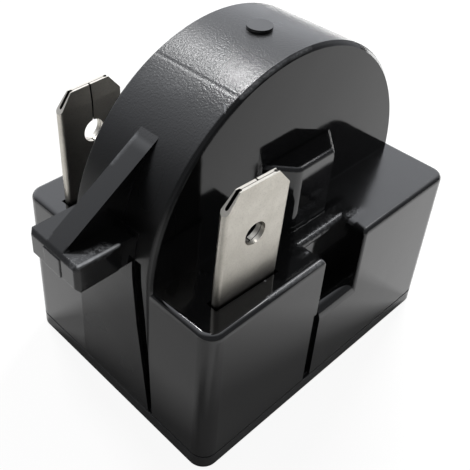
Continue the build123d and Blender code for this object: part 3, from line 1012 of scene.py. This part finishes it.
@dataclass
class Finishes:
    """The relay's materials by the record's slot."""

    tin: SheetMetal = SheetMetal(
        Slot.TIN, bright=(0.68, 0.65, 0.585), dull=(0.60, 0.57, 0.51), roughness=0.30)
    spring: SheetMetal = SheetMetal(
        Slot.SPRING, bright=(0.56, 0.56, 0.57), dull=(0.42, 0.42, 0.43), roughness=0.26)
    rivet: SheetMetal = SheetMetal(
        Slot.RIVET, bright=(0.72, 0.54, 0.28), dull=(0.55, 0.40, 0.20), roughness=0.32)
    made: dict[Slot, bpy.types.Material] = field(default_factory=dict)

    def build(self) -> None:
        """Make every material."""
        self.made = {
            Slot.MOULDING: PolishedMoulding().build(),
            Slot.COVER: PlainMoulding().build(),
            Slot.TIN: self.tin.build(),
            Slot.SPRING: self.spring.build(),
            Slot.RIVET: self.rivet.build(),
            Slot.CERAMIC: FiredCeramic().build(),
            Slot.MICA: MicaSheet().build(),
        }

    def dress(self, node: str, slot: Slot) -> None:
        """Give a CAD node its finish.

        Args:
            node: the node's name.
            slot: the slot that the record gives it.
        """
        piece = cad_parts[node]
        piece.data.materials.clear()
        piece.data.materials.append(self.made[slot])
        LOG.info("%s dressed as %s", node, slot.value)


@dataclass
class Shell:
    """The moulded housing and its cover plate."""

    finishes: Finishes

    def dress(self) -> None:
        """Finish both mouldings."""
        self.finishes.dress("housing", Slot.MOULDING)
        self.finishes.dress("base_cover", Slot.COVER)


@dataclass
class Conductors:
    """Terminals, springs, pin sockets, clamps and rivets of both sides."""

    finishes: Finishes
    sides: tuple[str, ...] = ("front", "rear")

    def dress(self) -> None:
        """Finish every metal piece."""
        for side in self.sides:
            self.finishes.dress(f"{side}_terminal", Slot.TIN)
            self.finishes.dress(f"{side}_pin_socket", Slot.TIN)
            self.finishes.dress(f"{side}_contact_spring", Slot.SPRING)
            self.finishes.dress(f"{side}_socket_clamp", Slot.SPRING)
            self.finishes.dress(f"{side}_left_rivet", Slot.RIVET)
            self.finishes.dress(f"{side}_right_rivet", Slot.RIVET)


@dataclass
class Thermistor:
    """The ceramic pill and the insulating sheets beside it."""

    finishes: Finishes

    def dress(self) -> None:
        """Finish the pill and both sheets."""
        self.finishes.dress("ptc_pill", Slot.CERAMIC)
        self.finishes.dress("front_mica_sheet", Slot.MICA)
        self.finishes.dress("rear_mica_sheet", Slot.MICA)


@dataclass
class Softbox:
    """One rectangular lamp that faces the relay, in metres and watts."""

    name: str
    direction: Point
    distance: float
    width: float
    height: float
    power: float
    mirrored: bool = True
    aim: Point = (0.0, 0.0, 0.012)

    def build(self) -> None:
        """Place the lamp, unseen by the camera, and by glossy faces too where it isn't mirrored."""
        lamp = bpy.data.lights.new(self.name, "AREA")
        lamp.shape = "RECTANGLE"
        lamp.size = self.width
        lamp.size_y = self.height
        lamp.energy = self.power
        holder = bpy.data.objects.new(self.name, lamp)
        bpy.context.scene.collection.objects.link(holder)
        away = Vector(self.direction).normalized()
        holder.location = Vector(self.aim) + away * self.distance
        holder.visible_camera = False
        holder.visible_glossy = self.mirrored
        holder.rotation_euler = away.to_track_quat("Z", "Y").to_euler()


@dataclass
class Studio:
    """White table in a room whose mirrored light rises from a dim side to a bright one."""

    floor_half: float = 1.2
    floor_gap_mm: float = 0.04
    floor_albedo: float = 0.9
    shown_albedo: float = 0.14
    shown_glow: float = 0.92
    ambient: float = 0.16
    bright_side: Point = (0.45, 0.75, 0.49)
    dim_level: float = 0.18
    bright_level: float = 1.45
    dim_from: float = 0.1
    bright_from: float = 0.92
    cool: Colour = (0.95, 0.975, 1.03)
    lamps: tuple[Softbox, ...] = (
        Softbox("overhead_softbox", (0.14, 0.52, 0.85), distance=0.60, width=0.11, height=0.09, power=1.25),
        Softbox("side_softbox", (0.60, 0.00, 0.80), distance=0.60, width=0.10, height=0.12, power=0.2),
        Softbox("table_softbox", (0.88, 0.33, 0.42), distance=0.24, width=0.10, height=0.10, power=0.75,
                mirrored=False),
    )

    def white(self, graph: Graph, albedo: float) -> bpy.types.Node:
        """Make a matt white or grey.

        Args:
            graph: the material's nodes.
            albedo: share of the light that it gives back.

        Returns:
            The shader's node.
        """
        made = graph.node("BsdfDiffuse")
        made.inputs["Color"].default_value = (albedo, albedo, albedo, 1.0)
        return made

    def either(self, graph: Graph, choice: Socket, first: bpy.types.Node,
               second: bpy.types.Node) -> bpy.types.Node:
        """Choose between two shaders.

        Args:
            graph: the material's nodes.
            choice: 0 for the first shader, 1 for the second.
            first: the first shader's node.
            second: the second shader's node.

        Returns:
            The mixed shader's node.
        """
        mixed = graph.node("MixShader")
        graph.link(choice, mixed.inputs["Fac"])
        graph.link(first.outputs[0], mixed.inputs[1])
        graph.link(second.outputs[0], mixed.inputs[2])
        return mixed

    def table_finish(self) -> bpy.types.Material:
        """Make the table's finish: white to the camera, with the relay's shadow, and clear from below.

        Returns:
            The table's material.
        """
        graph = Graph.of_material("white_table")
        glow = graph.node("Emission")
        glow.inputs["Strength"].default_value = self.shown_glow
        shown = graph.node("AddShader")
        graph.link(self.white(graph, self.shown_albedo).outputs[0], shown.inputs[0])
        graph.link(glow.outputs[0], shown.inputs[1])
        seen = graph.node("LightPath").outputs["Is Camera Ray"]
        top = self.either(graph, seen, self.white(graph, self.floor_albedo), shown)
        underneath = graph.node("NewGeometry").outputs["Backfacing"]
        return graph.close(self.either(graph, underneath, top, graph.node("BsdfTransparent")))

    def build_table(self) -> None:
        """Lay the table just under the relay."""
        height = -self.floor_gap_mm * MM
        bpy.ops.mesh.primitive_plane_add(size=2 * self.floor_half, location=(0, 0, height))
        table = bpy.context.object
        table.name = "table"
        table.data.materials.append(self.table_finish())

    def build_room(self) -> None:
        """Surround the relay: white to the camera, and a bright and a dim side in its gloss."""
        graph = Graph(bpy.data.worlds.new("studio_room"))
        toward = graph.node("VectorMath", operation="DOT_PRODUCT")
        graph.link(graph.node("TexCoord").outputs["Generated"], toward.inputs[0])
        toward.inputs[1].default_value = Vector(self.bright_side).normalized()
        mirrored = graph.ramp(toward.outputs["Value"], self.dim_from, self.bright_from,
                              self.dim_level, self.bright_level)
        rays = graph.node("LightPath")
        gloss = graph.math("MAXIMUM", rays.outputs["Is Glossy Ray"], rays.outputs["Is Transmission Ray"])
        level = graph.add_share(self.ambient, gloss, graph.math("SUBTRACT", mirrored, self.ambient))
        level = graph.math("MAXIMUM", level, rays.outputs["Is Camera Ray"])
        sky = graph.node("Background")
        graph.link(level, sky.inputs["Strength"])
        graph.link(graph.blend(gloss, WHITE, self.cool), sky.inputs["Color"])
        bpy.context.scene.world = graph.close(sky)

    def build(self) -> None:
        """Set up the table, the room and the lamps."""
        self.build_table()
        self.build_room()
        for lamp in self.lamps:
            lamp.build()
        bpy.context.scene.view_settings.view_transform = "Standard"
        LOG.info("studio ready with %d lamps", len(self.lamps))


@dataclass
class PhotoCamera:
    """Camera at the photograph's angle, in a square picture."""

    azimuth: float = -44.784
    elevation: float = 37.777
    roll: float = 2.35
    target_mm: Point = (0.049, 6.274, 12.0)
    distance_mm: float = 73.191
    focal_px: float = 750.757
    centre_px: Span = (193.722, 184.846)
    picture_px: float = 470.0
    sensor_mm: float = 36.0
    nearest_mm: float = 1.0

    def build(self) -> None:
        """Place the camera and make it the scene's."""
        lens = bpy.data.cameras.new("photo_camera")
        lens.sensor_width = self.sensor_mm
        lens.lens = self.focal_px / self.picture_px * self.sensor_mm
        lens.shift_x = 0.5 - self.centre_px[0] / self.picture_px
        lens.shift_y = self.centre_px[1] / self.picture_px - 0.5
        lens.clip_start = self.nearest_mm * MM
        turn, rise, lean = (math.radians(angle) for angle in (self.azimuth, self.elevation, self.roll))
        back = Vector((math.sin(turn) * math.cos(rise), -math.cos(turn) * math.cos(rise), math.sin(rise)))
        right = Vector((math.cos(turn), math.sin(turn), 0.0))
        up = back.cross(right)
        right_rolled = math.cos(lean) * right + math.sin(lean) * up
        up_rolled = -math.sin(lean) * right + math.cos(lean) * up
        place = (Vector(self.target_mm) + back * self.distance_mm) * MM
        holder = bpy.data.objects.new("photo_camera", lens)
        bpy.context.scene.collection.objects.link(holder)
        axes = Matrix((right_rolled, up_rolled, back)).transposed().to_4x4()
        holder.matrix_world = Matrix.Translation(place) @ axes
        bpy.context.scene.camera = holder
        LOG.info("camera ready")


def main() -> None:
    """Build the relay's finishes, the studio and the camera."""
    logging.basicConfig(level=logging.INFO, format="%(name)s: %(message)s")
    finishes = Finishes()
    finishes.build()
    Shell(finishes).dress()
    Conductors(finishes).dress()
    Thermistor(finishes).dress()
    Studio().build()
    PhotoCamera().build()


if __name__ == "__main__":
    main()
